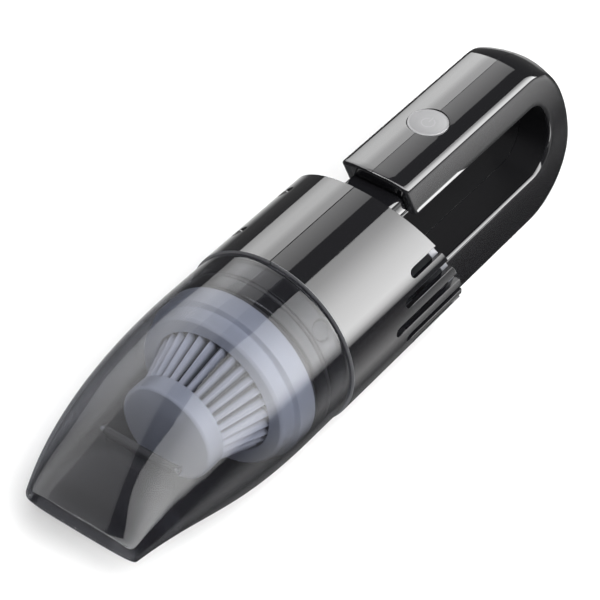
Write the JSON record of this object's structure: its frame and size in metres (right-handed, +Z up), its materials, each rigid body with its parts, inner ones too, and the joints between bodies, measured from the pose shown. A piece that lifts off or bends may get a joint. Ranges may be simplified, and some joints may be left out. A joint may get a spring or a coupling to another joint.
{
  "type": "handheld vacuum",
  "caption": "Cordless handheld vacuum with a round glossy body, loop handle with a power button, see-through dust cup with a slot mouth, and a pleated cone filter.",
  "frame": {"origin": "centre of the bounding box's bottom face, on the plane of the handle's flat underside", "axes": "+Z up, +Y from the mouth towards the handle along the body's axis, +X to the side that holds the right-hand shells"},
  "size_m": [0.075, 0.2936, 0.0829],
  "materials": {
    "black_shell": "mirror-gloss black moulded plastic",
    "dark_plastic": "satin black moulded plastic",
    "grey_trim": "satin dark grey moulded plastic",
    "smoke_clear": "smoky grey see-through plastic, polished",
    "smoke_duct": "smoky grey see-through plastic",
    "filter_plastic": "smooth blue-grey moulded plastic",
    "filter_media": "pleated non-woven filter sheet",
    "seal_rubber": "soft black rubber",
    "steel": "plain turned and drawn steel",
    "magnet": "dark sintered magnet",
    "fan_metal": "turned aluminium",
    "copper": "lacquered copper winding",
    "cell_wrap": "shrink-wrapped cell sleeve",
    "board": "green circuit board",
    "wire": "insulated copper leads",
    "button_silver": "silver-grey coated plastic, satin"
  },
  "bodies": {
    "housing": {"casing_left": "black_shell", "casing_right": "black_shell", "rear_cap": "grey_trim", "neck_block": "black_shell", "handle_left": "black_shell", "handle_right": "black_shell", "cup_spigot": "dark_plastic", "spigot_ring": "seal_rubber", "intake_grille": "grey_trim", "fan_shroud": "grey_trim", "diffuser_plate": "grey_trim", "motor_can": "steel", "motor_magnets": "magnet", "front_bearing": "steel", "rear_bearing": "steel", "motor_damper": "seal_rubber", "motor_cradle": "grey_trim", "battery_cells": "cell_wrap", "battery_tray": "grey_trim", "control_board": "board", "button_switch": "dark_plastic", "charging_port": "steel", "wire_leads": "wire", "case_screws": "steel"},
    "rotor": {"impeller": "fan_metal", "armature": "copper", "motor_shaft": "steel"},
    "button": {"power_button": "button_silver"},
    "cup": {"dust_cup": "smoke_clear", "inlet_duct": "smoke_duct", "flap_pin": "steel"},
    "flap": {"dust_flap": "seal_rubber"},
    "filter": {"filter_ring": "filter_plastic", "filter_pleats": "filter_media", "filter_cap": "filter_plastic", "filter_seal": "seal_rubber"}
  },
  "joints": [
    {"name": "cup_pull", "type": "slide", "parent": "housing", "child": "cup", "axis": [0, -1, 0], "range_m": [0, 0.125]},
    {"name": "filter_pull", "type": "slide", "parent": "housing", "child": "filter", "axis": [0, -1, 0], "range_m": [0, 0.064]},
    {"name": "flap_swing", "type": "hinge", "parent": "cup", "child": "flap", "pos_m": [0, -0.11422, 0.0493], "axis": [1, 0, 0], "range_deg": [0, 55], "stiffness_Nm_per_rad": 0.0003},
    {"name": "fan_spin", "type": "hinge", "parent": "housing", "child": "rotor", "pos_m": [0, -0.03962, 0.0454], "axis": [0, 1, 0], "continuous": true},
    {"name": "button_press", "type": "slide", "parent": "housing", "child": "button", "axis": [0, 0, -1], "range_m": [0, 0.0012], "stiffness_N_per_m": 1500, "springref_m": -0.0004}
  ],
  "couplings": [
    {"joint": "filter_pull", "follows": "cup_pull", "ratio": 0.5}
  ]
}
